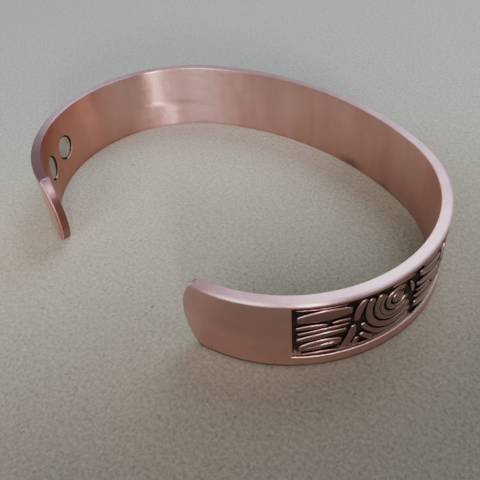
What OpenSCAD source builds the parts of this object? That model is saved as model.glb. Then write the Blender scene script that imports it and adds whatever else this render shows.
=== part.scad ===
// Open oval cuff: a strip bent round the wrist, with a sunk panel of raised
// blades on its outside and disc magnets let into the inside of both ends.
// It lies on its lower edge. +X is the long way of the oval, the opening
// between the ends faces -Y, and +Z is up.

/* [Strip] */
// Height of the strip, from edge to edge
band_height = 12; // [9:0.5:16]
// Thickness of the strip
band_thickness = 1.6; // [1.5:0.05:2.5]
// Rounding of the two outer edges
outer_round = 0.45; // [0.3:0.05:0.7]
// Rounding of the two inner edges
inner_round = 0.2; // [0.1:0.05:0.3]

/* [Oval] */
// Inside, from the middle to the furthest point at either side
half_length = 33; // [30:0.5:38]
// Inside, from the middle of the side bends to the back
back_depth = 23.5; // [22:0.1:27]
// Inside radius of the two tight side bends
side_radius = 20.7; // [18:0.1:20.9]

/* [Ends] */
// Front of the right bend to the tip of the right end, along the inside
right_tip = 0.8; // [0:0.1:4]
// Front of the left bend to the tip of the left end, along the inside
left_tip = 2.5; // [0:0.1:4]
// Radius of the rounded ends, seen square on to the strip
end_radius = 10.2; // [9:0.1:20]

/* [Sunk panel] */
// Tip of an end to the panel, along the inside
panel_start = 13.7; // [12:0.1:16]
// Plain border above the panel
top_border = 0.8; // [0.7:0.05:1.6]
// Plain border below the panel
bottom_border = 2.1; // [1:0.05:2.4]
// Depth of the panel floor below the outside
panel_depth = 0.45; // [0.3:0.05:0.5]

/* [Relief] */
// Height of the relief above the panel floor
relief_height = 0.4; // [0.2:0.05:0.5]
// Times that the blade group is repeated along the panel
groups = 8; // [6:1:9]

/* [Magnets] */
// Diameter of a magnet
magnet_diameter = 3.8; // [3:0.1:4.2]
// Thickness of a magnet
magnet_thickness = 0.65; // [0.4:0.05:0.7]
// Room between a magnet and the side of its pocket
pocket_clearance = 0.2; // [0.1:0.05:0.3]
// Depth of a pocket, in the middle of its floor
pocket_depth = 0.85; // [0.8:0.05:0.9]
// Glue under a magnet
glue_gap = 0.03; // [0.02:0.01:0.08]
// Tip of an end to its first magnet, along the inside
first_magnet = 7.5; // [6:0.1:9]
// Distance from one magnet to the next, along the inside
magnet_pitch = 6.25; // [5.5:0.05:7]

/* [Hidden] */
$fn = 96;

rad = 180 / PI;
function tidy(v) = round(v * 1000) / 1000;
// Side bends turn about points this far left and right of the middle.
side_x = half_length - side_radius;
// Radius of the flat back arc that runs smoothly into both bends
back_radius = tidy((pow(back_depth, 2) + pow(side_x, 2) - pow(side_radius, 2))
            / (2 * (back_depth - side_radius)));
// Direction, from straight ahead, in which a bend passes to the back arc
back_turn = 180 - tidy(atan(side_x / (back_radius - back_depth)));
// Lengths along the inside, from the front of the right bend
side_run = side_radius * back_turn / rad;
half_run = side_run + back_radius * (180 - back_turn) / rad;
full_run = 2 * half_run;

// Direction and place on the inside at a length s from the front of the right
// bend, going round by the back, before the oval is centred
function turn_r(s) = s < side_run ? s / side_radius * rad
                   : back_turn + (s - side_run) / back_radius * rad;
function turn(s) = s <= half_run ? turn_r(s) : 360 - turn_r(full_run - s);
function spot_r(s, out) = let (a = turn_r(s),
      r = (s < side_run ? side_radius : back_radius) + out,
      c = s < side_run ? [side_x, 0] : [0, back_depth - back_radius])
    [c[0] + r * sin(a), c[1] - r * cos(a)];
function spot(s, out) = s <= half_run ? spot_r(s, out)
    : let (p = spot_r(full_run - s, out)) [-p[0], p[1]];

front_reach = min(spot(right_tip, band_thickness)[1],
                  spot(full_run - left_tip, band_thickness)[1]);
middle_y = tidy(-(front_reach + back_depth + band_thickness) / 2);

panel_a = right_tip + panel_start;
panel_b = full_run - left_tip - panel_start;
panel_height = band_height - top_border - bottom_border;
group_run = (panel_b - panel_a) / groups;

// Size at which one group of the pattern is drawn, along and up the panel
drawn_run = 16.7;
drawn_height = 9.2;
// Blades of a group: columns from_s, from_z, to_s, to_z, bow and width in mm, and
// the share of the width that is left at the blunt ends
blades = [
    [0.50, 6.97, 7.28, 7.52, 0.24, 2.06, 0.50],
    [0.35, 5.42, 4.30, 5.80, 0.06, 0.80, 0.50],
    [0.55, 4.40, 7.00, 5.24, 0.10, 0.66, 0.45],
    [0.40, 3.16, 6.70, 4.24, 0.14, 1.07, 0.50],
    [0.75, 1.46, 6.15, 2.38, 0.20, 1.88, 0.45],
    [1.10, 0.43, 5.66, 0.70, 0.05, 0.46, 0.40],
    [0.40, 8.84, 6.60, 8.88, -0.04, 0.26, 0.50],
    [4.70, 5.94, 7.15, 6.00, 0.06, 0.52, 0.40],
    [6.12, 0.62, 7.52, 4.62, -0.38, 1.14, 0.55],
    [7.88, 5.22, 9.00, 8.70, 0.34, 1.12, 0.50],
    [7.60, 0.62, 8.12, 2.05, -0.08, 0.74, 0.40],
    [8.40, 0.46, 9.75, 0.44, -0.04, 0.42, 0.30],
    [12.45, 8.72, 16.30, 8.66, 0.06, 0.50, 0.50],
    [15.66, 7.75, 16.34, 5.40, 0.10, 0.66, 0.30]
];
// Bud of a group: s, z and radius in mm
bud = [13.7, 6.30, 0.94];
// Waves round the bud: columns radius in mm, from and to in degrees, width in mm
waves = [
    [1.56, 52, 342, 0.76],
    [2.86, 140, 316, 1.46],
    [4.28, 152, 306, 1.02],
    [5.36, 201, 298, 0.74],
    [6.36, 217, 238, 0.78]
];

// A quarter round in flats, about x and z, from a direction in degrees
function corner(x, z, r, from, flats) = [for (i = [0 : flats])
    let (a = from + 90 * i / flats) [x + tidy(r * cos(a)), z + tidy(r * sin(a))]];

// Strip section, flat inside and with rounded outer edges. $r is the inside
// radius of the arc that it is swept along.
module section() {
    out = $r + band_thickness - outer_round;
    polygon(concat(
        corner(out, outer_round, outer_round, -90, 4),
        corner(out, band_height - outer_round, outer_round, 0, 4),
        corner($r + inner_round, band_height - inner_round, inner_round, 90, 2),
        corner($r + inner_round, inner_round, inner_round, 180, 2)));
}

// Plain section between two depths below the outside, inside the panel
module slab(low, high) {
    translate([$r + band_thickness - low, bottom_border])
        square([low - high, panel_height]);
}

// A whole hoop of a section, its seam on the +Y side
module hoop(r) {
    $r = r;
    rotate([0, 0, 90]) rotate_extrude() children();
}

// Everything on one side of the X axis
module half(way) {
    translate([-150, way > 0 ? 0 : -150, -5]) cube([300, 150, band_height + 10]);
}

// An arc of a section, clockwise from this frame's X axis
module bend(r, angle) {
    intersection() {
        hoop(r) children();
        half(-1);
        rotate([0, 0, -angle]) half(1);
    }
}

// Frame about the middle of the back arc, X through its right end
module back_frame() {
    translate([0, middle_y + back_depth - back_radius, 0])
        rotate([0, 0, back_turn - 90]) children();
}

module back_arc() {
    intersection() {
        back_frame() hoop(back_radius) children();
        back_frame() half(1);
        mirror([1, 0, 0]) back_frame() half(1);
    }
}

// The section from the back arc on round the right bend, as far as length s
module right_bend(s) {
    back_frame() translate([back_radius - side_radius, 0, 0])
        bend(side_radius, tidy((side_run - s) / side_radius * rad)) children();
}

// The section from length a at the right round the back to length b, counted
// from the front of the left bend
module sweep(a, b) {
    back_arc() children();
    right_bend(a) children();
    mirror([1, 0, 0]) right_bend(b) children();
}

// A layer of the panel between two depths below the outside
module panel_layer(low, high) {
    sweep(panel_a, full_run - panel_b) slab(low, high);
}

// Children stand on the inside at length s: x along the strip, y up and
// z outwards, from the lower edge
module on_wall(s) {
    translate([spot(s, 0)[0], middle_y + spot(s, 0)[1], 0])
        rotate([0, 0, turn(s)]) rotate([90, 0, 0]) children();
}

// What is cut away beyond the rounded tip at length s; way is 1 where the
// opening lies at lower lengths and -1 where it lies at higher ones
module tip_cut(s, way) {
    on_wall(s) difference() {
        translate([-6, -1, -2]) cube([12, band_height + 2, band_thickness + 4]);
        translate([way * end_radius, band_height / 2, -3])
            cylinder(r = end_radius, h = band_thickness + 6);
    }
}

// A rise of nothing has no arc, so the smallest is 0.03
function off_zero(v) = abs(v) < 0.03 ? 0.03 : v;

// Disc whose edge passes through both ends of a chord and rises by sag over it
module bowed(chord, sag) {
    r = (pow(chord / 2, 2) + sag * sag) / (2 * sag);
    translate([0, sag - r]) circle(r);
}

// Crescent or leaf on a chord, bowed to its left, pointed at both ends
module crescent(chord, bow, width) {
    a = off_zero(bow + width / 2);
    b = off_zero(bow - width / 2);
    if (a > 0 && b < 0) intersection() {
        bowed(chord, a);
        mirror([0, 1]) bowed(chord, -b);
    }
    else if (b > 0) difference() {
        bowed(chord, a);
        bowed(chord, b);
    }
    else mirror([0, 1]) difference() {
        bowed(chord, -b);
        bowed(chord, -a);
    }
}

// Layer of the relief about the arc on which length at lies
module relief_layer(at) {
    left = at > half_run;
    near = left ? full_run - at : at;
    if (near < side_run)
        translate([left ? -side_x : side_x, middle_y, 0]) rotate([0, 0, left ? -90 : 90])
            hoop(side_radius) slab(panel_depth + 0.3, panel_depth - relief_height);
    else
        translate([0, middle_y + back_depth - back_radius, 0]) rotate([0, 0, 180])
            hoop(back_radius) slab(panel_depth + 0.3, panel_depth - relief_height);
}

// A shape of group g, drawn about its middle at s and z. Every second group
// hangs upside down.
module raised(g, s, z) {
    part = z / drawn_height;
    at = panel_a + (g + s / drawn_run) * group_run;
    intersection() {
        relief_layer(at);
        on_wall(at)
            translate([0, bottom_border + (g % 2 == 0 ? part : 1 - part) * panel_height, -1])
                linear_extrude(band_thickness + 2) mirror([0, g % 2]) children();
    }
}

// How far a drawn length is stretched round the outside at length at
function stretch(at) = group_run / drawn_run
    * (1 + band_thickness / (at < side_run || at > full_run - side_run
                             ? side_radius : back_radius));

// Crescent cut off to blunt ends, at which the share of its width is left
module blade(chord, bow, width, share) {
    longer = 1 / (1 - share);
    intersection() {
        translate([0, bow * (1 - longer)]) crescent(sqrt(longer) * chord, bow * longer, width);
        circle(chord / 2);
    }
}

// Arc of even width about the middle, between two directions, its ends cut round
module wave(r, from, to, width) {
    intersection() {
        difference() {
            circle(r + width / 2);
            circle(r - width / 2);
        }
        translate([r * cos((from + to) / 2), r * sin((from + to) / 2)])
            circle(2 * r * sin((to - from) / 4));
    }
}

// A blade of group g from one drawn point to another
module stroke(g, p, q, bow, width, share) {
    middle = (p + q) / 2;
    up = panel_height / drawn_height;
    k = stretch(panel_a + (g + middle[0] / drawn_run) * group_run);
    run = [(q[0] - p[0]) * k, (q[1] - p[1]) * up];
    raised(g, middle[0], middle[1])
        rotate([0, 0, atan2(run[1], run[0])]) blade(norm(run), bow * up, width * up, share);
}

// Hairline at the right end of the back arc, across the relief
module hairline() {
    back_frame() translate([back_radius, -0.02, 0]) cube([5, 0.04, band_height]);
}

// Each stroke stands on one arc: one that would cross to the next is split there
module relief() {
    difference() {
        strokes();
        hairline();
        mirror([1, 0, 0]) hairline();
    }
}

module strokes() {
    for (g = [0 : groups - 1]) {
        for (f = blades) stroke(g, [f[0], f[1]], [f[2], f[3]], f[4], f[5], f[6]);
        // waves stay round, at the mean of the stretch along and up the panel
        mean = (stretch(panel_a + (g + bud[0] / drawn_run) * group_run)
                + panel_height / drawn_height) / 2;
        for (w = waves)
            raised(g, bud[0], bud[1]) wave(w[0] * mean, w[1], w[2], w[3] * mean);
        raised(g, bud[0], bud[1]) circle(bud[2]);
    }
}

// Length, from the front of the right bend, of magnet n at either end
function magnet_at(side, n) = side > 0
    ? right_tip + first_magnet + (n - 1) * magnet_pitch
    : full_run - left_tip - first_magnet - (n - 1) * magnet_pitch;

module band() {
    color("#b87a62") difference() {
        union() {
            difference() {
                sweep(right_tip - 3, left_tip - 3) section();
                tip_cut(right_tip, 1);
                tip_cut(full_run - left_tip, -1);
                panel_layer(panel_depth, -1);
            }
            relief();
        }
        for (side = [1, -1]) for (n = [1 : 3])
            on_wall(magnet_at(side, n)) translate([0, band_height / 2, -1])
                cylinder(d = magnet_diameter + 2 * pocket_clearance, h = pocket_depth + 1);
    }
}

module magnet(side, n) {
    color("#a5aaa5") on_wall(magnet_at(side, n))
        translate([0, band_height / 2, pocket_depth - glue_gap - magnet_thickness])
            cylinder(d = magnet_diameter, h = magnet_thickness);
}
module magnet_right_1() { magnet(1, 1); }
module magnet_right_2() { magnet(1, 2); }
module magnet_right_3() { magnet(1, 3); }
module magnet_left_1() { magnet(-1, 1); }
module magnet_left_2() { magnet(-1, 2); }
module magnet_left_3() { magnet(-1, 3); }

band();
magnet_right_1();
magnet_right_2();
magnet_right_3();
magnet_left_1();
magnet_left_2();
magnet_left_3();
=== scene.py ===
import math

import bmesh
import bpy
import numpy as np
from mathutils import Matrix, Vector


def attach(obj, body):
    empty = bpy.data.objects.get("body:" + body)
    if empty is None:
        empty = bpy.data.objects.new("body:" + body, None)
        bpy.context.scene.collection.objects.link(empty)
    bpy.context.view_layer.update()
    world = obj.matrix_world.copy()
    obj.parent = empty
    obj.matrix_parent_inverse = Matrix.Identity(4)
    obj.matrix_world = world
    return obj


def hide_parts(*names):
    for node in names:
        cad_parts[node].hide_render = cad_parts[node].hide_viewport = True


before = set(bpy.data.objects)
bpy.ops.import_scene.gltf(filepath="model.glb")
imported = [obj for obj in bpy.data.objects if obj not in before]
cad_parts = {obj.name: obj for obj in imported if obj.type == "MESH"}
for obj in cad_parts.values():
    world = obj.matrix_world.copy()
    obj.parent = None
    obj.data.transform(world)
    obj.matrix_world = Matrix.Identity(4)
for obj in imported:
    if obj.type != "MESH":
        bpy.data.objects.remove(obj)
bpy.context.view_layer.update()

# Strip
# The body of the cuff: copper cast flat, 12 mm high and 1.6 mm thick, with a sunk
# panel outside and three round pockets inside each bow-shaped end. It is bent round
# an oval former, two tight side bends and a flatter back, and linished to a satin.

mm = 0.001
strip_height, strip_thick, outer_round, inner_round = 12.0, 1.6, 0.45, 0.2
middle_height = strip_height / 2
right_tip, left_tip, end_radius, corner_round = 0.8, 2.5, 10.2, 0.6
panel_start, top_border, bottom_border, panel_depth = 13.7, 0.8, 2.1, 0.45
pocket_radius, pocket_depth, first_pocket, pocket_pitch = 2.1, 0.85, 7.5, 6.25
# the oval, along the inside
side_radius, half_length, back_depth, middle_y = 20.7, 33.0, 23.5, -1.408
side_x = half_length - side_radius
back_radius = (back_depth**2 + side_x**2 - side_radius**2) / (2 * (back_depth - side_radius))
back_turn = math.pi - math.atan(side_x / (back_radius - back_depth))
side_run = side_radius * back_turn
full_run = 2 * (side_run + back_radius * (math.pi - back_turn))
length = full_run - right_tip - left_tip


def add(tree, kind, feeds=None, **settings):
    """A node with its settings; feeds gives each input a value or another node's output.

    Inputs that share a name go by number: 0 to 2 on a Math node, and on a Mix node 0 for
    its factor, 2 and 3 for values and 6 and 7 for colours. A mixed colour is output 2,
    and a length or dot product is output 1.
    """
    made = tree.nodes.new(kind)
    for name, value in settings.items():
        setattr(made, name, value)
    for socket, value in (feeds or {}).items():
        if isinstance(value, bpy.types.NodeSocket):
            tree.links.new(value, made.inputs[socket])
        else:
            made.inputs[socket].default_value = value
    return made


# Everything on the strip is made flat, x along its inside, -y outwards and z up, and
# this tree bends it round the former.
former = bpy.data.node_groups.new("bend_round_former", "GeometryNodeTree")
former.interface.new_socket("Flat", in_out="INPUT", socket_type="NodeSocketGeometry")
for label in ("Side radius", "Back radius", "Side centre x", "Side centre y",
              "Back centre y", "Side run", "Full run"):
    former.interface.new_socket(label, in_out="INPUT", socket_type="NodeSocketFloat")
former.interface.new_socket("Bent", in_out="OUTPUT", socket_type="NodeSocketGeometry")
given = add(former, "NodeGroupInput").outputs
place = add(former, "ShaderNodeSeparateXYZ",
            {0: add(former, "GeometryNodeInputPosition").outputs[0]}).outputs
# length from the nearer end, as both halves of the oval are alike
other = add(former, "ShaderNodeMath", {0: given["Full run"], 1: place[0]}, operation="SUBTRACT")
near = add(former, "ShaderNodeMath", {0: place[0], 1: other.outputs[0]}, operation="MINIMUM")
left = add(former, "ShaderNodeMath", {0: place[0], 1: other.outputs[0]},
           operation="GREATER_THAN")
way = add(former, "ShaderNodeMath", {0: left.outputs[0], 1: -2.0, 2: 1.0},
          operation="MULTIPLY_ADD")
# angle turned through on the side bend, and then on the back
on_side = add(former, "ShaderNodeMath", {0: near.outputs[0], 1: given["Side run"]},
              operation="MINIMUM")
on_back = add(former, "ShaderNodeMath", {0: near.outputs[0], 1: on_side.outputs[0]},
              operation="SUBTRACT")
side_angle = add(former, "ShaderNodeMath", {0: on_side.outputs[0], 1: given["Side radius"]},
                 operation="DIVIDE")
back_angle = add(former, "ShaderNodeMath", {0: on_back.outputs[0], 1: given["Back radius"]},
                 operation="DIVIDE")
angle = add(former, "ShaderNodeMath", {0: side_angle.outputs[0], 1: back_angle.outputs[0]},
            operation="ADD")
is_back = add(former, "ShaderNodeMath", {0: on_back.outputs[0], 1: 0.0},
              operation="GREATER_THAN")
bend_radius = add(former, "ShaderNodeMix", {0: is_back.outputs[0], 2: given["Side radius"],
                                            3: given["Back radius"]})
centre_x = add(former, "ShaderNodeMix", {0: is_back.outputs[0], 2: given["Side centre x"],
                                         3: 0.0})
centre_y = add(former, "ShaderNodeMix", {0: is_back.outputs[0], 2: given["Side centre y"],
                                         3: given["Back centre y"]})
radius = add(former, "ShaderNodeMath", {0: bend_radius.outputs[0], 1: place[1]},
             operation="SUBTRACT")
sine = add(former, "ShaderNodeMath", {0: angle.outputs[0]}, operation="SINE")
cosine = add(former, "ShaderNodeMath", {0: angle.outputs[0]}, operation="COSINE")
out_x = add(former, "ShaderNodeMath", {0: radius.outputs[0], 1: sine.outputs[0],
                                       2: centre_x.outputs[0]}, operation="MULTIPLY_ADD")
out_y = add(former, "ShaderNodeMath", {0: radius.outputs[0], 1: cosine.outputs[0]},
            operation="MULTIPLY")
bent_x = add(former, "ShaderNodeMath", {0: out_x.outputs[0], 1: way.outputs[0]},
             operation="MULTIPLY")
bent_y = add(former, "ShaderNodeMath", {0: centre_y.outputs[0], 1: out_y.outputs[0]},
             operation="SUBTRACT")
bent = add(former, "ShaderNodeCombineXYZ", {0: bent_x.outputs[0], 1: bent_y.outputs[0],
                                            2: place[2]})
moved = add(former, "GeometryNodeSetPosition", {"Geometry": given["Flat"],
                                                "Position": bent.outputs[0]})
add(former, "NodeGroupOutput", {"Bent": moved.outputs[0]})
former_sizes = {
    "Side radius": side_radius * mm, "Back radius": back_radius * mm,
    "Side centre x": side_x * mm, "Side centre y": middle_y * mm,
    "Back centre y": (middle_y + back_depth - back_radius) * mm,
    "Side run": side_run * mm, "Full run": full_run * mm,
}


def flat_piece(name, corners, faces, along, **values):
    """A flat mesh with its UV map in metres, u along the brushing, and values per point."""
    mesh = bpy.data.meshes.new(name)
    mesh.from_pydata(corners, [], faces)
    uv = mesh.uv_layers.new(name="strip")
    uv.data.foreach_set("uv", np.asarray(along, float).ravel())
    for label, each in values.items():
        mesh.attributes.new(label, "FLOAT", "POINT").data.foreach_set("value", each)
    mesh.shade_smooth()
    made = bpy.data.objects.new(name, mesh)
    bpy.context.scene.collection.objects.link(made)
    return made


def bake(piece, tree, sizes):
    """Runs a node tree on a piece with the given sizes and keeps the result as its mesh."""
    modifier = piece.modifiers.new(tree.name, "NODES")
    modifier.node_group = tree
    sockets = {s.name: s.identifier for s in tree.interface.items_tree
               if s.item_type == "SOCKET" and s.in_out == "INPUT"}
    for label, value in sizes.items():
        modifier[sockets[label]] = value
    piece.update_tag()
    shown = bpy.context.evaluated_depsgraph_get()
    result = bpy.data.meshes.new_from_object(piece.evaluated_get(shown),
                                             preserve_all_data_layers=True, depsgraph=shown)
    piece.modifiers.remove(modifier)
    piece.data = result
    result.name = piece.name


def linear(code, alpha=1.0):
    """An sRGB hex colour as the linear values that nodes take."""
    parts = [int(code[k:k + 2], 16) / 255 for k in (1, 3, 5)]
    return [c / 12.92 if c <= 0.04045 else ((c + 0.055) / 1.055) ** 2.4 for c in parts] + [alpha]


# The flat strip is a grid of columns along it and rows up it, on both faces.
# a quarter round in steps: how far in from the edge
round_steps = 6
round_in = 1 - np.cos(np.linspace(0, math.pi / 2, round_steps + 1))
# the lip of the panel, from the face down its wall to the floor
lip_at = np.array([-0.12, -0.06, -0.02, 0.0, 0.03, 0.10])
lip_down = np.array([0.0, 0.012, 0.045, 0.09, 0.36, 0.45])

# round each pocket the grid leaves a square, as wide as their pitch, in even steps
pockets, square_steps = 3, 12
step = pocket_pitch / square_steps
square_low = middle_height - pocket_pitch / 2
low_border_rows, low_panel_rows = [0.8, 1.3, 1.75], [2.5]
high_border_rows, high_panel_rows = [0.56], [1.3, 1.8, 2.35]
low_rows = np.concatenate([outer_round * round_in, low_border_rows, bottom_border + lip_at,
                           low_panel_rows, square_low + step * np.arange(square_steps // 2 + 1)])
high_rows = np.concatenate([outer_round * round_in, high_border_rows, top_border + lip_at,
                            high_panel_rows, square_low + step * np.arange(square_steps // 2)])
rows = np.concatenate([low_rows, strip_height - high_rows[::-1]])
# columns keep clear of the lip of the panel, which has its own
first_column, column_step, pocket_clear, lip_clear, middle_columns = 1.05, 0.48, 0.2, 0.16, 212
to_pockets = first_pocket - pocket_pitch / 2
end_columns = np.sort(np.concatenate([
    outer_round * round_in, np.arange(first_column, to_pockets - pocket_clear, column_step),
    [c for c in to_pockets + step * np.arange(pockets * square_steps + 1)
     if abs(c - panel_start) > lip_clear],
    panel_start + lip_at]))
middle = np.linspace(end_columns[-1], length - end_columns[-1], middle_columns + 2)[1:-1]
columns = np.concatenate([end_columns, middle, length - end_columns[::-1]])
many, tall = len(columns), len(rows)


def to_inner(values, whole):
    """The same rows or columns, with the edge steps drawn in to the inner rounding."""
    inner = values.copy()
    inner[:len(round_in)] = inner_round * round_in
    inner[-len(round_in):] = whole - inner_round * round_in[::-1]
    return inner


def end_bow(z):
    """How far the bowed end lies back from its tip at a height, its corners rounded."""
    off = np.minimum(z, strip_height - z)
    corner = np.clip(1 - off / corner_round, 0, 1)
    return (end_radius - np.sqrt(end_radius**2 - (z - middle_height) ** 2)
            + 0.5 * corner_round * (1 - np.sqrt(1 - corner**2)))


def on_strip(c, z):
    """Length along the inside for a column and a row, bowed near both ends."""
    bow_reach = 4.2
    fade = np.clip(1 - c / bow_reach, 0, 1) - np.clip(1 - (length - c) / bow_reach, 0, 1)
    return right_tip + c + end_bow(z) * fade


def edge_down(c, z, reach):
    """Depth below the face from the rounding of the edges, reach wide."""
    away_c = np.clip(np.minimum(c, length - c) / reach, 0, 1)
    away_z = np.clip(np.minimum(z, strip_height - z) / reach, 0, 1)
    down_c, down_z = (1 - np.sqrt(1 - (1 - a) ** 2) for a in (away_c, away_z))
    return reach * np.minimum((down_c**3 + down_z**3) ** (1 / 3), 1)


C, Z = np.meshgrid(columns, rows, indexing="ij")
in_panel = np.minimum(
    np.interp(np.minimum(C, length - C), panel_start + lip_at, lip_down),
    np.minimum(np.interp(Z, bottom_border + lip_at, lip_down),
               np.interp(strip_height - Z, top_border + lip_at, lip_down)))
outer_face = np.stack([on_strip(C, Z), strip_thick - edge_down(C, Z, outer_round) - in_panel, Z],
                      -1)
Ci, Zi = np.meshgrid(to_inner(columns, length), to_inner(rows, strip_height), indexing="ij")
inner_face = np.stack([on_strip(Ci, Zi), edge_down(Ci, Zi, inner_round), Zi], -1)

points = np.concatenate([outer_face.reshape(-1, 3), inner_face.reshape(-1, 3)])
height = np.concatenate([1 - in_panel.ravel() / panel_depth, np.ones(many * tall)])
# the edges are rubbed, and their paler lilac colour is partly a painted highlight:
# at once past the outer rounding's start, later on the inner
outer_rub, inner_rub = 5, 2
outer_worn = np.clip(edge_down(C, Z, outer_round) / outer_round * outer_rub, 0, 1)
inner_worn = np.clip(edge_down(Ci, Zi, inner_round) / inner_round * inner_rub, 0, 1)
worn = np.concatenate([outer_worn.ravel(), inner_worn.ravel()])
# the edges are painted darker towards the left end, from this far off it and over this far
dull_from, dull_fade = 70, 45
from_left = length - np.concatenate([C.ravel(), Ci.ravel()])
dull = np.clip((dull_from - from_left) / dull_fade, 0, 1)
number = np.arange(many * tall).reshape(many, tall)
inner_number = number + many * tall
# the map is (height, length) outside, (length, this less height) inside
inner_map_top = 30
faces, maps = [], []
pocket_rows = [int(np.argmin(abs(rows - (middle_height + k * pocket_pitch / 2))))
               for k in (-1, 1)]
pocket_spots = [first_pocket + n * pocket_pitch for n in range(pockets)]
pocket_spots += [length - p for p in pocket_spots]
pocket_columns = [[int(np.argmin(abs(columns - (p + k * pocket_pitch / 2)))) for k in (-1, 1)]
                  for p in pocket_spots]
for i in range(many - 1):
    for j in range(tall - 1):
        quad = [(i, j), (i + 1, j), (i + 1, j + 1), (i, j + 1)]
        faces.append([number[q] for q in quad])
        on_edge = min(i, many - 2 - i, j, tall - 2 - j) < round_steps
        maps.append([tuple(outer_face[q][[0, 2] if on_edge else [2, 0]]) for q in quad])
        if pocket_rows[0] <= j < pocket_rows[1] and any(a <= i < b for a, b in pocket_columns):
            continue
        faces.append([inner_number[q] for q in quad[::-1]])
        maps.append([(inner_face[q][0], inner_map_top - inner_face[q][2]) for q in quad[::-1]])

# the edge all round, from the outer face to the inner, with a map of its own
edge_map_at, edge_map_step = 200, 0.4
edge = ([(i, 0) for i in range(many - 1)] + [(many - 1, j) for j in range(tall - 1)]
        + [(i, tall - 1) for i in range(many - 1, 0, -1)]
        + [(0, j) for j in range(tall - 1, 0, -1)])
rings = [[number[e] for e in edge]]
for share in (1 / 3, 2 / 3):
    first = len(points)
    band = [(1 - share) * outer_face[e] + share * inner_face[e] for e in edge]
    points = np.concatenate([points, band])
    height = np.concatenate([height, np.ones(len(band))])
    worn = np.concatenate([worn, np.ones(len(band))])
    dull = np.concatenate([dull, [
        min(max((dull_from - length + columns[e[0]]) / dull_fade, 0), 1) for e in edge]])
    rings.append(list(range(first, first + len(band))))
rings.append([inner_number[e] for e in edge])
round_edge = np.concatenate([[0], np.cumsum([np.linalg.norm(
    outer_face[edge[k]] - outer_face[edge[(k + 1) % len(edge)]]) for k in range(len(edge))])])
for deep, (upper, lower) in enumerate(zip(rings, rings[1:])):
    across = (edge_map_step * deep, edge_map_step * deep + edge_map_step)
    for k in range(len(edge)):
        n = (k + 1) % len(edge)
        faces.append([upper[k], lower[k], lower[n], upper[n]])
        here, there = edge_map_at + round_edge[k], edge_map_at + round_edge[k + 1]
        maps.append([(here, across[0]), (here, across[1]), (there, across[1]),
                     (there, across[0])])

# the pockets: rings from the square left open in the grid to the rim, down the
# wall and over the floor, which is kept flat when the strip is bent. Each ring has
# its share of the circle, radius beyond the pocket's, depth and height of shine; the
# wall and floor get none, so they are black, as patina and as painted shade in the
# gap round the magnet.
pocket_rings = [(0.45, None, 0, 1), (0.8, None, 0, 1), (1.0, 0.10, 0, 1), (1.0, 0.04, 0.02, 0.9),
                (1.0, 0.0, 0.09, 0.5), (1.0, 0.0, 0.5, 0.0), (1.0, -0.01, 0.8, 0.0),
                (1.0, -0.06, pocket_depth, 0.0), (1.0, -1.2, pocket_depth, 0.0)]
wide_ring, flat_below = 0.1, 0.3
for (a, b), spot in zip(pocket_columns, pocket_spots):
    j0, j1 = pocket_rows
    loop = ([(i, j0) for i in range(a, b)] + [(b, j) for j in range(j0, j1)]
            + [(i, j1) for i in range(b, a, -1)] + [(a, j) for j in range(j1, j0, -1)])
    before = [inner_number[e] for e in loop]
    square = np.array([inner_face[e] for e in loop])
    middle_at = right_tip + spot
    turn = np.arctan2(square[:, 2] - middle_height, square[:, 0] - middle_at)
    for blend, wider, down, shine in pocket_rings:
        reach = pocket_radius + (wide_ring if wider is None else wider)
        circle = np.stack([middle_at + reach * np.cos(turn), np.zeros(len(loop)),
                           middle_height + reach * np.sin(turn)], -1)
        ring = (1 - blend) * square + blend * circle
        ring[:, 1] = down
        if down >= flat_below:
            ring[:, 1] += (ring[:, 0] - middle_at) ** 2 / 2 / side_radius
        now = list(range(len(points), len(points) + len(loop)))
        points = np.concatenate([points, ring])
        height = np.concatenate([height, np.full(len(loop), shine)])
        for k in range(len(loop)):
            n = (k + 1) % len(loop)
            quad = [before[n], before[k], now[k], now[n]]
            faces.append(quad)
            maps.append([(points[q][0], inner_map_top - points[q][2]) for q in quad])
        before = now
    points = np.concatenate([points, [[middle_at, pocket_depth, middle_height]]])
    height = np.append(height, 0.0)
    for k in range(len(loop)):
        cap = [before[(k + 1) % len(loop)], before[k], len(points) - 1]
        faces.append(cap)
        maps.append([(points[q][0], inner_map_top - points[q][2]) for q in cap])

points[:, 1] *= -1
worn = np.concatenate([worn, np.zeros(len(points) - len(worn))])
dull = np.concatenate([dull, np.zeros(len(points) - len(dull))])
# the copper is browner inside, where the skin rubs, and from 42 mm off more so
# towards both ends
inside_from, tan_least, tan_from, tan_fade = -0.9, 0.34, 42, 38
from_tip = np.minimum(points[:, 0] - right_tip, right_tip + length - points[:, 0])
tanned = np.where(points[:, 1] > inside_from,
                  np.clip(tan_least + (tan_from - from_tip) / tan_fade, tan_least, 1), 0)
# the bowed tips are brown too, but for their upper corners
tip_deep, corner_top, corner_fade = 1.6, 11, 5
tip_brown = ((1 - np.clip(from_tip / tip_deep, 0, 1))
             * np.clip((corner_top - points[:, 2]) / corner_fade, 0, 1))
strip = flat_piece("band_strip", points * mm, faces,
                   np.array([uv for face in maps for uv in face]) * mm, rise=height, worn=worn,
                   tanned=tanned, dull=dull, bowed=tip_brown)

# Satin copper: the metal itself, linished on a fine belt and then left to tarnish.
# The belt's lines spread highlights across the strip, the tarnish browns it in
# clouds, the edges are rubbed pale with a lilac tint that is partly a painted
# highlight and are painted darker towards the left end, the edge it lies on is
# painted with contact shade, and the panel and pockets are blackened, in the
# pockets also as painted shade round the magnets.
satin_copper = bpy.data.materials.new("satin_tarnished_copper")
satin_copper.use_nodes = True
satin = satin_copper.node_tree
satin.nodes.clear()
strip_map = add(satin, "ShaderNodeUVMap", uv_map="strip").outputs[0]
where = add(satin, "ShaderNodeTexCoord").outputs["Object"]
low = add(satin, "ShaderNodeAttribute", attribute_name="rise").outputs["Fac"]
edge_worn = add(satin, "ShaderNodeAttribute", attribute_name="worn").outputs["Fac"]
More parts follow.
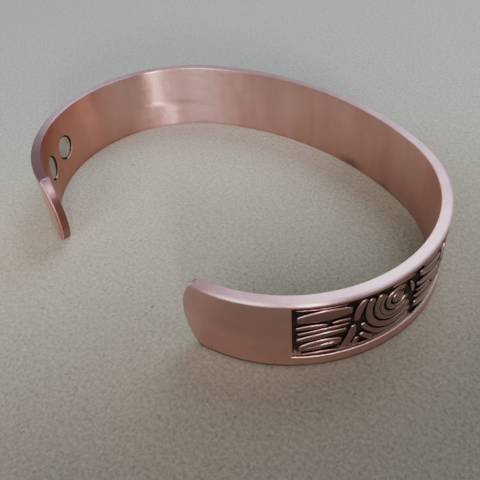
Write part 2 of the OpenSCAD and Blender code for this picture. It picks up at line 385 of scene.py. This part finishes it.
# belt lines about 0.15 mm apart and 5 mm long, lengthwise inside and upright
# outside as the map turns there; the real ones are finer
belt_space = add(satin, "ShaderNodeMapping", {0: strip_map, 3: (200, 6600, 1)})
belt = add(satin, "ShaderNodeTexNoise", {0: belt_space.outputs[0], "Scale": 1.0,
                                         "Detail": 3.0, "Roughness": 0.6})
# faint bars 2 to 5 mm wide, where the belt pressed harder
bar_space = add(satin, "ShaderNodeMapping", {0: strip_map, 3: (320, 24, 1)})
bars = add(satin, "ShaderNodeTexNoise", {0: bar_space.outputs[0], "Scale": 1.0, "Detail": 2.0})
# clouds of tarnish 9 mm across, and a fine grain of 0.2 mm
clouds = add(satin, "ShaderNodeTexNoise", {0: where, "Scale": 110.0, "Detail": 4.0,
                                           "Roughness": 0.55})
grain = add(satin, "ShaderNodeTexNoise", {0: where, "Scale": 5000.0, "Detail": 2.0,
                                          "Roughness": 0.6})
uneven = add(satin, "ShaderNodeMix", {0: 0.45, 2: clouds.outputs[0], 3: bars.outputs[0]})
tarnish = add(satin, "ShaderNodeValToRGB", {0: uneven.outputs[0]})
tarnish.color_ramp.elements[0].position, tarnish.color_ramp.elements[1].position = 0.35, 0.65
tarnish.color_ramp.elements[0].color = linear("#D9AFA9")
tarnish.color_ramp.elements[1].color = linear("#EAC4BF")
streaked = add(satin, "ShaderNodeMix", {0: 0.12, 6: tarnish.outputs[0], 7: belt.outputs[1]},
               data_type="RGBA", blend_type="SOFT_LIGHT")
skin = add(satin, "ShaderNodeAttribute", attribute_name="tanned").outputs["Fac"]
skin_part = add(satin, "ShaderNodeMath", {0: skin, 1: 0.75}, operation="MULTIPLY")
tan = add(satin, "ShaderNodeMix", {0: skin_part.outputs[0], 6: streaked.outputs[2],
                                   7: linear("#976240")}, data_type="RGBA")
# the edges are rubbed to a paler pink, with a sparkle of fine nicks, and their lilac
# tint is partly a painted highlight
nicks_and_sheen = add(satin, "ShaderNodeValToRGB", {0: grain.outputs[0]})
nicks_and_sheen.color_ramp.elements[0].position, nicks_and_sheen.color_ramp.elements[1].position = 0.38, 0.64
nicks_and_sheen.color_ramp.elements[0].color = linear("#CEA6AD")
nicks_and_sheen.color_ramp.elements[1].color = linear("#E2B7C0")
# the edges are painted darker towards the left end
duller = add(satin, "ShaderNodeAttribute", attribute_name="dull").outputs["Fac"]
edge_tone = add(satin, "ShaderNodeMix", {0: duller, 6: nicks_and_sheen.outputs[0],
                                         7: linear("#9E7C84")}, data_type="RGBA")
bow_brown = add(satin, "ShaderNodeAttribute", attribute_name="bowed").outputs["Fac"]
bow_tone = add(satin, "ShaderNodeMix", {0: bow_brown, 6: edge_tone.outputs[2],
                                        7: linear("#8F655A")}, data_type="RGBA")
edged = add(satin, "ShaderNodeMix", {0: edge_worn, 6: tan.outputs[2],
                                     7: bow_tone.outputs[2]}, data_type="RGBA")
# two dark smears low on the inside, right of the back: length and height in the
# strip's map, half width, half height, and strength
smears = [(69.5, 29.2, 3.0, 1.1, 0.5), (61.0, 29.4, 2.2, 0.7, 0.35)]
stains = None
for at_s, at_z, half_wide, half_tall, strength in smears:
    off = add(satin, "ShaderNodeVectorMath", {0: strip_map, 1: (at_s * mm, at_z * mm, 0)},
              operation="SUBTRACT")
    oval = add(satin, "ShaderNodeVectorMath", {
        0: off.outputs[0], 1: (1 / (half_wide * mm), 1 / (half_tall * mm), 0)},
        operation="MULTIPLY")
    far = add(satin, "ShaderNodeVectorMath", {0: oval.outputs[0]}, operation="LENGTH")
    ragged = add(satin, "ShaderNodeMath", {0: grain.outputs[0], 1: 0.9, 2: far.outputs[1]},
                 operation="MULTIPLY_ADD")
    smear = add(satin, "ShaderNodeMapRange", {
        "Value": ragged.outputs[0], "From Min": 0.5, "From Max": 1.5, "To Min": strength,
        "To Max": 0.0})
    stains = smear if stains is None else add(
        satin, "ShaderNodeMath", {0: stains.outputs[0], 1: smear.outputs[0]},
        operation="MAXIMUM")
smeared = add(satin, "ShaderNodeMix", {0: stains.outputs[0], 6: edged.outputs[2],
                                       7: linear("#4A3A38")}, data_type="RGBA")
# painted contact shade: the edge that it lies on is painted dark, strongly outside
# and faintly inside
height_up = add(satin, "ShaderNodeSeparateXYZ", {0: where}).outputs[2]
contact_shade_strength = add(satin, "ShaderNodeMapRange", {
    "Value": skin, "From Min": 0.0, "From Max": 0.3, "To Min": 0.95, "To Max": 0.1})
painted_contact_shade = add(satin, "ShaderNodeMapRange", {
    "Value": height_up, "From Min": 0.35 * mm, "From Max": 0.75 * mm,
    "To Min": contact_shade_strength.outputs[0], "To Max": 0.0})
with_contact_shade = add(satin, "ShaderNodeMix", {0: painted_contact_shade.outputs[0], 6: smeared.outputs[2],
                                       7: linear("#453028")}, data_type="RGBA")
# the blackening stays where polishing can't reach; in the pockets it is also
# painted shade in the gap round each magnet
patina_and_pocket_shade = add(satin, "ShaderNodeMapRange", {
    "Value": low, "From Min": 0.05, "From Max": 0.95, "To Min": 1.0, "To Max": 0.0},
    interpolation_type="SMOOTHSTEP")
floor_tone = add(satin, "ShaderNodeMix", {0: clouds.outputs[0], 6: linear("#3C3230"),
                                          7: linear("#6C5A52")}, data_type="RGBA")
blackened = add(satin, "ShaderNodeMix", {0: patina_and_pocket_shade.outputs[0], 6: with_contact_shade.outputs[2],
                                         7: floor_tone.outputs[2]}, data_type="RGBA")
satin_rough = add(satin, "ShaderNodeMapRange", {
    "Value": belt.outputs[0], "From Min": 0.3, "From Max": 0.7, "To Min": 0.28,
    "To Max": 0.37})
edge_rough = add(satin, "ShaderNodeMix", {0: edge_worn, 2: satin_rough.outputs[0], 3: 0.46})
relief_rough = add(satin, "ShaderNodeMix", {0: patina_and_pocket_shade.outputs[0],
                                            2: edge_rough.outputs[0], 3: 0.5})
# Left of the back the inside is kinked: above 5 mm it leans one way along the
# strip and below that the other, so the upright highlight breaks in two there.
# The kink's middle in the strip's map, its reach, and the lean above and below it
kink_at, kink_wide, kink_above, kink_below = 109.6, 4.8, -0.044, 0.068
on_map = add(satin, "ShaderNodeSeparateXYZ", {0: strip_map}).outputs
off_kink = add(satin, "ShaderNodeMath", {0: on_map[0], 1: kink_at * mm}, operation="SUBTRACT")
off_square = add(satin, "ShaderNodeMath", {0: off_kink.outputs[0], 1: 2.0}, operation="POWER")
off_share = add(satin, "ShaderNodeMath", {0: off_square.outputs[0], 1: -(kink_wide * mm)**-2},
                operation="MULTIPLY")
bell = add(satin, "ShaderNodeMath", {0: off_share.outputs[0]}, operation="EXPONENT")
lean = add(satin, "ShaderNodeMapRange", {
    "Value": on_map[1], "From Min": 24.2 * mm, "From Max": 25.9 * mm, "To Min": kink_above,
    "To Max": kink_below}, interpolation_type="SMOOTHSTEP")
leaning = add(satin, "ShaderNodeMath", {0: off_kink.outputs[0], 1: lean.outputs[0]},
              operation="MULTIPLY")
kinked = add(satin, "ShaderNodeMath", {0: leaning.outputs[0], 1: bell.outputs[0]},
             operation="MULTIPLY")
kink = add(satin, "ShaderNodeBump", {"Strength": 1.0, "Distance": 1.0,
                                     "Height": kinked.outputs[0]})
# the bent strip is faintly wavy, which breaks a highlight up
wavy = add(satin, "ShaderNodeBump", {"Strength": 0.6, "Distance": 0.0003,
                                     "Height": clouds.outputs[0], "Normal": kink.outputs[0]})
lines = add(satin, "ShaderNodeBump", {"Strength": 0.12, "Distance": 0.00002,
                                      "Height": belt.outputs[0], "Normal": wavy.outputs[0]})
grain_deep = add(satin, "ShaderNodeMapRange", {
    "Value": edge_worn, "From Min": 0.0, "From Max": 1.0, "To Min": 0.15, "To Max": 0.35})
bumps = add(satin, "ShaderNodeBump", {"Strength": grain_deep.outputs[0], "Distance": 0.00003,
                                      "Height": grain.outputs[0], "Normal": lines.outputs[0]})
along_strip = add(satin, "ShaderNodeTangent", direction_type="UV_MAP", uv_map="strip")
metal = add(satin, "ShaderNodeBsdfPrincipled", {
    "Base Color": blackened.outputs[2], "Metallic": 1.0, "Roughness": relief_rough.outputs[0],
    "Anisotropic": 0.88, "Anisotropic Rotation": 0.25, "Normal": bumps.outputs[0],
    "Tangent": along_strip.outputs[0]})
add(satin, "ShaderNodeOutputMaterial", {0: metal.outputs[0]})

strip_tree = bpy.data.node_groups.new("bent_strip", "GeometryNodeTree")
strip_tree.interface.new_socket("Flat strip", in_out="INPUT", socket_type="NodeSocketGeometry")
for label in former_sizes:
    strip_tree.interface.new_socket(label, in_out="INPUT", socket_type="NodeSocketFloat")
strip_tree.interface.new_socket("Metal", in_out="INPUT", socket_type="NodeSocketMaterial")
strip_tree.interface.new_socket("Strip", in_out="OUTPUT", socket_type="NodeSocketGeometry")
given = add(strip_tree, "NodeGroupInput").outputs
bending = add(strip_tree, "GeometryNodeGroup", node_tree=former)
strip_tree.links.new(given["Flat strip"], bending.inputs["Flat"])
for label in former_sizes:
    strip_tree.links.new(given[label], bending.inputs[label])
real = add(strip_tree, "GeometryNodeRealizeInstances", {0: bending.outputs[0]})
finished = add(strip_tree, "GeometryNodeSetMaterial", {"Geometry": real.outputs[0],
                                                       "Material": given["Metal"]})
add(strip_tree, "NodeGroupOutput", {"Strip": finished.outputs[0]})
bake(strip, strip_tree, {**former_sizes, "Metal": satin_copper})
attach(strip, "root")
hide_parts("band")

# Relief
# Blades, waves and a bud that stand up from the floor of the panel, cast in one
# with the strip. One group is drawn and repeated round the cuff, every second
# one upside down. Their backs are rubbed bright and the hollows left black.

# a group's length and height as drawn, which shrink a little to fit the panel
drawn_run, drawn_height, relief_height, groups = 16.7, 9.2, 0.4, 8
panel_run = length - 2 * panel_start
group_run = panel_run / groups
panel_height = strip_height - top_border - bottom_border
# blades: from s, z to s, z, bow, width, share of it left at the ends, and a vein or none
blades = [
    [0.50, 6.97, 7.28, 7.52, 0.24, 2.06, 0.50, 0],
    [0.35, 5.42, 4.30, 5.80, 0.06, 0.80, 0.50, 0],
    [0.55, 4.40, 7.00, 5.24, 0.10, 0.66, 0.45, 0],
    [0.40, 3.16, 6.70, 4.24, 0.14, 1.07, 0.50, 0],
    [0.75, 1.46, 6.15, 2.38, 0.20, 1.88, 0.45, 1],
    [1.10, 0.43, 5.66, 0.70, 0.05, 0.46, 0.40, 0],
    [0.40, 8.84, 6.60, 8.88, -0.04, 0.26, 0.50, 0],
    [4.70, 5.94, 7.15, 6.00, 0.06, 0.52, 0.40, 0],
    [6.12, 0.62, 7.52, 4.62, -0.38, 1.14, 0.55, 0],
    [7.88, 5.22, 9.00, 8.70, 0.34, 1.12, 0.50, 0],
    [7.60, 0.62, 8.12, 2.05, -0.08, 0.74, 0.40, 0],
    [8.40, 0.46, 9.75, 0.44, -0.04, 0.42, 0.30, 0],
    [12.45, 8.72, 16.30, 8.66, 0.06, 0.50, 0.50, 0],
    [15.66, 7.75, 16.34, 5.40, 0.10, 0.66, 0.30, 0],
]
# the bud: s and z of its middle, and its radius
bud = (13.7, 6.30, 0.94)
# waves round the bud: radius, from and to in degrees, width, and a vein or none
waves = [
    [1.56, 52, 342, 0.76, 0],
    [2.86, 140, 316, 1.46, 1],
    [4.28, 152, 306, 1.02, 0],
    [5.36, 201, 298, 0.74, 0],
    [6.36, 217, 238, 0.78, 0],
]


def bowed_line(blade):
    """Middle line of a blade as a function of 0 to 1."""
    start, end, bow = np.array(blade[0:2]), np.array(blade[2:4]), blade[4]
    run = end - start
    off = np.array([-run[1], run[0]]) / np.linalg.norm(run) * bow
    return lambda t: start + run * t[:, None] + off * (4 * t * (1 - t))[:, None]


def wave_line(wave):
    """Middle line of a wave as a function of 0 to 1."""
    a, b = math.radians(wave[1]), math.radians(wave[2])
    return lambda t: np.array(bud[:2]) + wave[0] * np.stack(
        [np.cos(a + (b - a) * t), np.sin(a + (b - a) * t)], -1)


# across a blade: a loaf with a soft flat back, a few more points in its middle for
# the vein, and steep sides that go into the floor
turns, vein_points, foot_depth = np.linspace(math.pi, 0, 13), [-0.13, -0.06, 0.06, 0.13], 0.25
to_sides, back_flat, side_steep = 0.6, 7, 0.42
loaf_side = np.sign(np.cos(turns)) * abs(np.cos(turns)) ** to_sides
loaf_side = np.sort(np.concatenate([[-1.0], loaf_side, [1.0], vein_points]))
loaf_up = (1 - abs(loaf_side) ** back_flat).clip(0) ** side_steep
loaf_up[[0, -1]] = -foot_depth
# a vein's half width as a share of the blade's, its distance from the ends, how deep
# it goes and how black it is, and the length over which a blade rises at its ends
vein_wide, vein_clear, vein_deep, vein_black, end_rise = 0.075, 0.5, 0.3, 0.75, 0.25


def raised_mesh(line, width, share, ends, vein, cuts):
    """Corners, faces, UV and height of one blade: share of the width is left at its ends."""
    end_gap = 0.002
    t = end_gap + (1 - 2 * end_gap) * (1 - np.cos(np.linspace(0, math.pi, cuts))) / 2
    mid = line(t)
    span = np.linalg.norm(np.diff(mid, axis=0), axis=1).sum()
    ahead = np.gradient(mid, axis=0)
    ahead /= np.linalg.norm(ahead, axis=1)[:, None]
    side = np.stack([-ahead[:, 1], ahead[:, 0]], -1)
    from_end = np.minimum(t, 1 - t) * span
    rounded = np.sqrt(1 - (1 - np.clip(from_end / ends, 0, 1)) ** 2)
    wide = width / 2 * (1 - (1 - share) * (2 * t - 1) ** 2) * rounded
    tall_here = (1 - (1 - np.clip(from_end / end_rise, 0, 1)) ** 3) ** 0.5
    groove = (vein * np.exp(-(loaf_side / vein_wide) ** 2)
              * np.clip(from_end[:, None] - vein_clear, 0, 1))
    flat = mid[:, None] + side[:, None] * (wide[:, None] * loaf_side)[..., None]
    up = np.where(loaf_up < 0, loaf_up,
                  tall_here[:, None] * loaf_up * (1 - vein_deep * groove))
    out = strip_thick - panel_depth + relief_height * up
    corners = np.stack([flat[..., 0] * group_run / drawn_run, -out,
                        bottom_border + flat[..., 1] * panel_height / drawn_height], -1)
    n, across = len(t), len(loaf_side)
    index = np.arange(n * across).reshape(n, across)
    quads, uv = [], []
    for i in range(n - 1):
        for j in range(across):
            k = (j + 1) % across
            ring = ((i, j), (i, k), (i + 1, k), (i + 1, j))
            quads.append([index[q] for q in ring])
            uv.append([(t[p] * span, wide[p] * loaf_side[q]) for p, q in ring])
    for i, order in ((0, -1), (n - 1, 1)):
        quads.append(list(index[i][::order]))
        uv.append([(t[i] * span, wide[i] * s) for s in loaf_side[::order]])
    return corners.reshape(-1, 3), quads, uv, np.clip(up - vein_black * groove, 0, 1).ravel()


group_points, group_faces, group_maps, group_rise = [], [], [], []
rounded_end, blade_cuts, wave_cuts = 0.3, 22, 30
strokes = [(bowed_line(b), b[5], b[6], rounded_end, b[7], blade_cuts) for b in blades]
strokes += [(wave_line(w), w[3], 1.0, rounded_end, w[4], wave_cuts) for w in waves]
strokes.append((lambda t: np.stack([bud[0] + bud[2] * (2 * t - 1), np.full(len(t), bud[1])], -1),
                2 * bud[2], 1.0, bud[2], 0, blade_cuts))
for stroke in strokes:
    corners, quads, uv, up = raised_mesh(*stroke)
    start = sum(len(p) for p in group_points)
    group_points.append(corners)
    group_faces += [[start + v for v in q] for q in quads]
    group_maps += [pair for face in uv for pair in face]
    group_rise.append(up)
group_points = np.concatenate(group_points)
relief = flat_piece("band_relief", group_points * mm, group_faces, np.array(group_maps) * mm,
                    rise=np.concatenate(group_rise))
shape = bmesh.new()
shape.from_mesh(relief.data)
bmesh.ops.recalc_face_normals(shape, faces=shape.faces)
shape.to_mesh(relief.data)
shape.free()

# Rubbed cast copper: the same metal, its backs burnished by rubbing, its sides
# and hollows black with sulphide patina, and a clear lacquer over both that
# gives small white lights.
rubbed_copper = bpy.data.materials.new("rubbed_black_patina_copper")
rubbed_copper.use_nodes = True
rubbed = rubbed_copper.node_tree
rubbed.nodes.clear()
where = add(rubbed, "ShaderNodeTexCoord").outputs["Object"]
low = add(rubbed, "ShaderNodeAttribute", attribute_name="rise").outputs["Fac"]
cast = add(rubbed, "ShaderNodeTexNoise", {0: where, "Scale": 1800.0, "Detail": 3.0,
                                          "Roughness": 0.6})
# patina reaches unevenly up the sides, in patches of 0.5 mm
uneven = add(rubbed, "ShaderNodeMath", {0: cast.outputs[0], 1: 0.3, 2: -0.15},
             operation="MULTIPLY_ADD")
reach = add(rubbed, "ShaderNodeMath", {0: low, 1: uneven.outputs[0]}, operation="ADD")
bright = add(rubbed, "ShaderNodeMapRange", {
    "Value": reach.outputs[0], "From Min": 0.58, "From Max": 0.93, "To Min": 0.0,
    "To Max": 1.0}, interpolation_type="SMOOTHSTEP")
colour = add(rubbed, "ShaderNodeMix", {0: bright.outputs[0], 6: linear("#1E1517"),
                                       7: linear("#957169")}, data_type="RGBA")
rough = add(rubbed, "ShaderNodeMix", {0: bright.outputs[0], 2: 0.5, 3: 0.3})
pits = add(rubbed, "ShaderNodeBump", {"Strength": 0.25, "Distance": 0.00004,
                                      "Height": cast.outputs[0]})
metal = add(rubbed, "ShaderNodeBsdfPrincipled", {
    "Base Color": colour.outputs[2], "Metallic": 1.0, "Roughness": rough.outputs[0],
    "Coat Weight": 1.0, "Coat Roughness": 0.08, "Normal": pits.outputs[0]})
add(rubbed, "ShaderNodeOutputMaterial", {0: metal.outputs[0]})

relief_tree = bpy.data.node_groups.new("repeated_relief", "GeometryNodeTree")
relief_tree.interface.new_socket("Drawn group", in_out="INPUT",
                                 socket_type="NodeSocketGeometry")
relief_tree.interface.new_socket("Pairs", in_out="INPUT", socket_type="NodeSocketInt")
for label in ("Panel start", "Group run", "Hang height", *former_sizes):
    relief_tree.interface.new_socket(label, in_out="INPUT", socket_type="NodeSocketFloat")
relief_tree.interface.new_socket("Metal", in_out="INPUT", socket_type="NodeSocketMaterial")
relief_tree.interface.new_socket("Relief", in_out="OUTPUT", socket_type="NodeSocketGeometry")
given = add(relief_tree, "NodeGroupInput").outputs
# two groups, the second upside down, make a pair
turned_up = add(relief_tree, "ShaderNodeCombineXYZ", {0: given["Group run"],
                                                      2: given["Hang height"]})
hanging = add(relief_tree, "GeometryNodeTransform", {
    "Geometry": given["Drawn group"], "Translation": turned_up.outputs[0],
    "Scale": (1, 1, -1)})
right_way = add(relief_tree, "GeometryNodeFlipFaces", {0: hanging.outputs[0]})
pair = add(relief_tree, "GeometryNodeJoinGeometry", {0: given["Drawn group"]})
relief_tree.links.new(right_way.outputs[0], pair.inputs[0])
start_at = add(relief_tree, "ShaderNodeCombineXYZ", {0: given["Panel start"]})
double_run = add(relief_tree, "ShaderNodeMath", {0: given["Group run"], 1: 2.0},
                 operation="MULTIPLY")
apart = add(relief_tree, "ShaderNodeCombineXYZ", {0: double_run.outputs[0]})
row = add(relief_tree, "GeometryNodeMeshLine", {"Count": given["Pairs"],
                                                "Start Location": start_at.outputs[0],
                                                "Offset": apart.outputs[0]})
repeated = add(relief_tree, "GeometryNodeInstanceOnPoints", {"Points": row.outputs[0],
                                                             "Instance": pair.outputs[0]})
real = add(relief_tree, "GeometryNodeRealizeInstances", {0: repeated.outputs[0]})
bending = add(relief_tree, "GeometryNodeGroup", {0: real.outputs[0]}, node_tree=former)
for label in former_sizes:
    relief_tree.links.new(given[label], bending.inputs[label])
joined = add(relief_tree, "GeometryNodeRealizeInstances", {0: bending.outputs[0]})
finished = add(relief_tree, "GeometryNodeSetMaterial", {"Geometry": joined.outputs[0],
                                                        "Material": given["Metal"]})
add(relief_tree, "NodeGroupOutput", {"Relief": finished.outputs[0]})
bake(relief, relief_tree, {
    **former_sizes, "Pairs": groups // 2, "Panel start": (right_tip + panel_start) * mm,
    "Group run": group_run * mm,
    "Hang height": (bottom_border + strip_height - top_border) * mm, "Metal": rubbed_copper})
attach(relief, "root")
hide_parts("band")

# Magnets
# Disc magnets 3.8 mm across, pressed from iron alloy powder, nickel plated and
# glued into the pockets, three in each end. Their rims are lightly tumbled.

magnet_radius, magnet_thick, magnet_top, rim = 1.9, 0.65, 0.17, 0.1
flat_ring, rim_from, rim_steps, disc_steps, merge_near = 0.9, 0.3, 5, 64, 0.0005

nickel = bpy.data.materials.new("tumbled_nickel_plate")
nickel.use_nodes = True
plate = nickel.node_tree
plate.nodes.clear()
where = add(plate, "ShaderNodeTexCoord").outputs["Object"]
# dull clouds 1.5 mm across from handling, and peened grain of 0.1 mm
handled = add(plate, "ShaderNodeTexNoise", {0: where, "Scale": 700.0, "Detail": 3.0})
grain = add(plate, "ShaderNodeTexNoise", {0: where, "Scale": 9000.0, "Detail": 2.0})
tone = add(plate, "ShaderNodeValToRGB", {0: handled.outputs[0]})
tone.color_ramp.elements[0].position, tone.color_ramp.elements[1].position = 0.35, 0.7
tone.color_ramp.elements[0].color = linear("#8B9088")
tone.color_ramp.elements[1].color = linear("#A2A7A0")
rough = add(plate, "ShaderNodeMapRange", {
    "Value": handled.outputs[0], "From Min": 0.3, "From Max": 0.7, "To Min": 0.28,
    "To Max": 0.42})
bumps = add(plate, "ShaderNodeBump", {"Strength": 0.2, "Distance": 0.00002,
                                      "Height": grain.outputs[0]})
metal = add(plate, "ShaderNodeBsdfPrincipled", {
    "Base Color": tone.outputs[0], "Metallic": 0.6, "Roughness": rough.outputs[0],
    "Normal": bumps.outputs[0]})
add(plate, "ShaderNodeOutputMaterial", {0: metal.outputs[0]})

# half a section from the middle of one face to the rim, and back along the other
disc_profile = [(0.0, 0.0), (flat_ring, 0.0), (magnet_radius - rim, 0.0)]
disc_profile += [(magnet_radius - rim + rim * math.sin(a), rim - rim * math.cos(a))
                 for a in np.linspace(rim_from, math.pi / 2, rim_steps)]
disc_profile += [(r, magnet_thick - h) for r, h in disc_profile[::-1]]
for side, tip, way in (("right", right_tip, 1), ("left", full_run - left_tip, -1)):
    for n in range(pockets):
        at = tip + way * (first_pocket + n * pocket_pitch)
        angle = at / side_radius if way > 0 else 2 * math.pi - (full_run - at) / side_radius
        foot = Vector((way * side_x + side_radius * math.sin(angle),
                       middle_y - side_radius * math.cos(angle), middle_height))
        turned = Matrix.Rotation(angle, 4, "Z") @ Matrix.Rotation(math.pi / 2, 4, "X")
        shape = bmesh.new()
        chain = [shape.verts.new((r, 0, h)) for r, h in disc_profile]
        for a, b in zip(chain, chain[1:]):
            shape.edges.new((a, b))
        bmesh.ops.spin(shape, geom=shape.verts[:] + shape.edges[:], cent=(0, 0, 0),
                       axis=(0, 0, 1), angle=2 * math.pi, steps=disc_steps)
        bmesh.ops.remove_doubles(shape, verts=shape.verts, dist=merge_near)
        bmesh.ops.recalc_face_normals(shape, faces=shape.faces)
        shape.transform(Matrix.Scale(mm, 4) @ Matrix.Translation(foot) @ turned
                        @ Matrix.Translation((0, 0, magnet_top)))
        name = f"magnet_disc_{side}_{n + 1}"
        mesh = bpy.data.meshes.new(name)
        shape.to_mesh(mesh)
        shape.free()
        mesh.shade_smooth()
        mesh.materials.append(nickel)
        disc = bpy.data.objects.new(name, mesh)
        bpy.context.scene.collection.objects.link(disc)
        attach(disc, "root")
        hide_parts(f"magnet_{side}_{n + 1}")

# Table
# A pale surface of smooth matt board that the cuff lies on, with painted shade
# and a painted warmer tint towards the near side.

matt_board = bpy.data.materials.new("pale_matt_board")
matt_board.use_nodes = True
board = matt_board.node_tree
board.nodes.clear()
where = add(board, "ShaderNodeTexCoord").outputs["Object"]
# fibres of half a millimetre, a little darker and lighter than the board, and
# sparse dark ones 0.8 mm apart at the closest
fibre = add(board, "ShaderNodeTexNoise", {0: where, "Scale": 2100.0, "Detail": 4.0,
                                          "Roughness": 0.7, "Distortion": 0.5})
shade = add(board, "ShaderNodeMapRange", {
    "Value": fibre.outputs[0], "From Min": 0.3, "From Max": 0.7, "To Min": 0.66,
    "To Max": 1.30})
speck = add(board, "ShaderNodeTexNoise", {0: where, "Scale": 1300.0, "Detail": 1.0,
                                          "Distortion": 2.2})
dark_fibre = add(board, "ShaderNodeMapRange", {
    "Value": speck.outputs[0], "From Min": 0.70, "From Max": 0.76, "To Min": 1.0,
    "To Max": 0.55})
flecked = add(board, "ShaderNodeMath", {0: shade.outputs[0], 1: dark_fibre.outputs[0]},
              operation="MULTIPLY")
# painted light: the board is painted a warmer tint towards the near side, standing
# in for less of the cool window light there, and painted shade darkens it towards
# the near right
away = add(board, "ShaderNodeVectorMath", {0: where, 1: (-0.72, 0.69, 0)},
           operation="DOT_PRODUCT")
nearer = add(board, "ShaderNodeVectorMath", {0: where, 1: (0.87, -0.5, 0)},
             operation="DOT_PRODUCT")
painted_cool_light = add(board, "ShaderNodeMapRange", {
    "Value": away.outputs[1], "From Min": -10 * mm, "From Max": 40 * mm},
    interpolation_type="SMOOTHSTEP")
painted_shade = add(board, "ShaderNodeMapRange", {
    "Value": nearer.outputs[1], "From Min": -18 * mm, "From Max": 50 * mm, "To Min": 1.0,
    "To Max": 0.25}, interpolation_type="SMOOTHSTEP")
tone = add(board, "ShaderNodeMix", {0: painted_cool_light.outputs[0], 6: linear("#A7A28E"),
                                    7: linear("#9C9E96")}, data_type="RGBA")
# the fibres times the painted shade
strength = add(board, "ShaderNodeMath", {0: flecked.outputs[0], 1: painted_shade.outputs[0]},
               operation="MULTIPLY")
board_with_painted_light = add(board, "ShaderNodeVectorMath", {0: tone.outputs[2], "Scale": strength.outputs[0]},
            operation="SCALE")
matt = add(board, "ShaderNodeBsdfPrincipled", {"Base Color": board_with_painted_light.outputs[0],
                                               "Roughness": 0.85})
add(board, "ShaderNodeOutputMaterial", {0: matt.outputs[0]})
mesh = bpy.data.meshes.new("table")
mesh.from_pydata([(-1, -1, 0), (1, -1, 0), (1, 1, 0), (-1, 1, 0)], [], [(0, 1, 2, 3)])
mesh.materials.append(matt_board)
table = bpy.data.objects.new("table", mesh)
bpy.context.scene.collection.objects.link(table)

# Light
# A large cool panel like a window, high behind the cuff, a small one low behind the
# camera that draws the upright highlight inside the back, two weak ones in front and
# at the right, and a dim even room.

lights = [
    # name, place, size, power in watts, colour
    ("window_panel", (-0.08, 0.44, 0.57), 0.42, 4.8, "#E4EEFF"),
    ("low_panel", (0.40, -0.30, 0.15), 0.075, 2.6, "#FFE6E6"),
    ("front_panel", (0.10, -0.40, 0.22), 0.26, 1.6, "#FDFAFF"),
    ("side_panel", (0.37, 0.065, 0.29), 0.03, 0.2, "#EAF2FF"),
]
for name, place, size, power, tint in lights:
    data = bpy.data.lights.new(name, "AREA")
    data.shape, data.size, data.energy, data.color = "SQUARE", size, power, linear(tint)[:3]
    lamp = bpy.data.objects.new(name, data)
    lamp.location = place
    lamp.rotation_euler = (-Vector(place)).to_track_quat("-Z", "Y").to_euler()
    bpy.context.scene.collection.objects.link(lamp)
room_strength = 0.64
room = bpy.data.worlds.new("room")
room.use_nodes = True
air = room.node_tree.nodes["Background"]
air.inputs["Color"].default_value = linear("#D6D4D2")
air.inputs["Strength"].default_value = room_strength
bpy.context.scene.world = room

# Camera
# At the photograph's angle: 46 degrees round from the opening, looking 43
# degrees down, from 95 mm away.

eye, round_by, down_by, roll = (0.052778, -0.050695, 0.061111), 45.98, 43.0, -5.41
look = bpy.data.cameras.new("camera")
look.lens, look.sensor_width = 42.73, 36.0
look.clip_start, look.clip_end = 0.005, 10.0
camera = bpy.data.objects.new("camera", look)
camera.matrix_world = (Matrix.Translation(eye)
                       @ Matrix.Rotation(math.radians(round_by), 4, "Z")
                       @ Matrix.Rotation(math.radians(90 - down_by), 4, "X")
                       @ Matrix.Rotation(math.radians(roll), 4, "Z"))
bpy.context.scene.collection.objects.link(camera)
bpy.context.scene.camera = camera
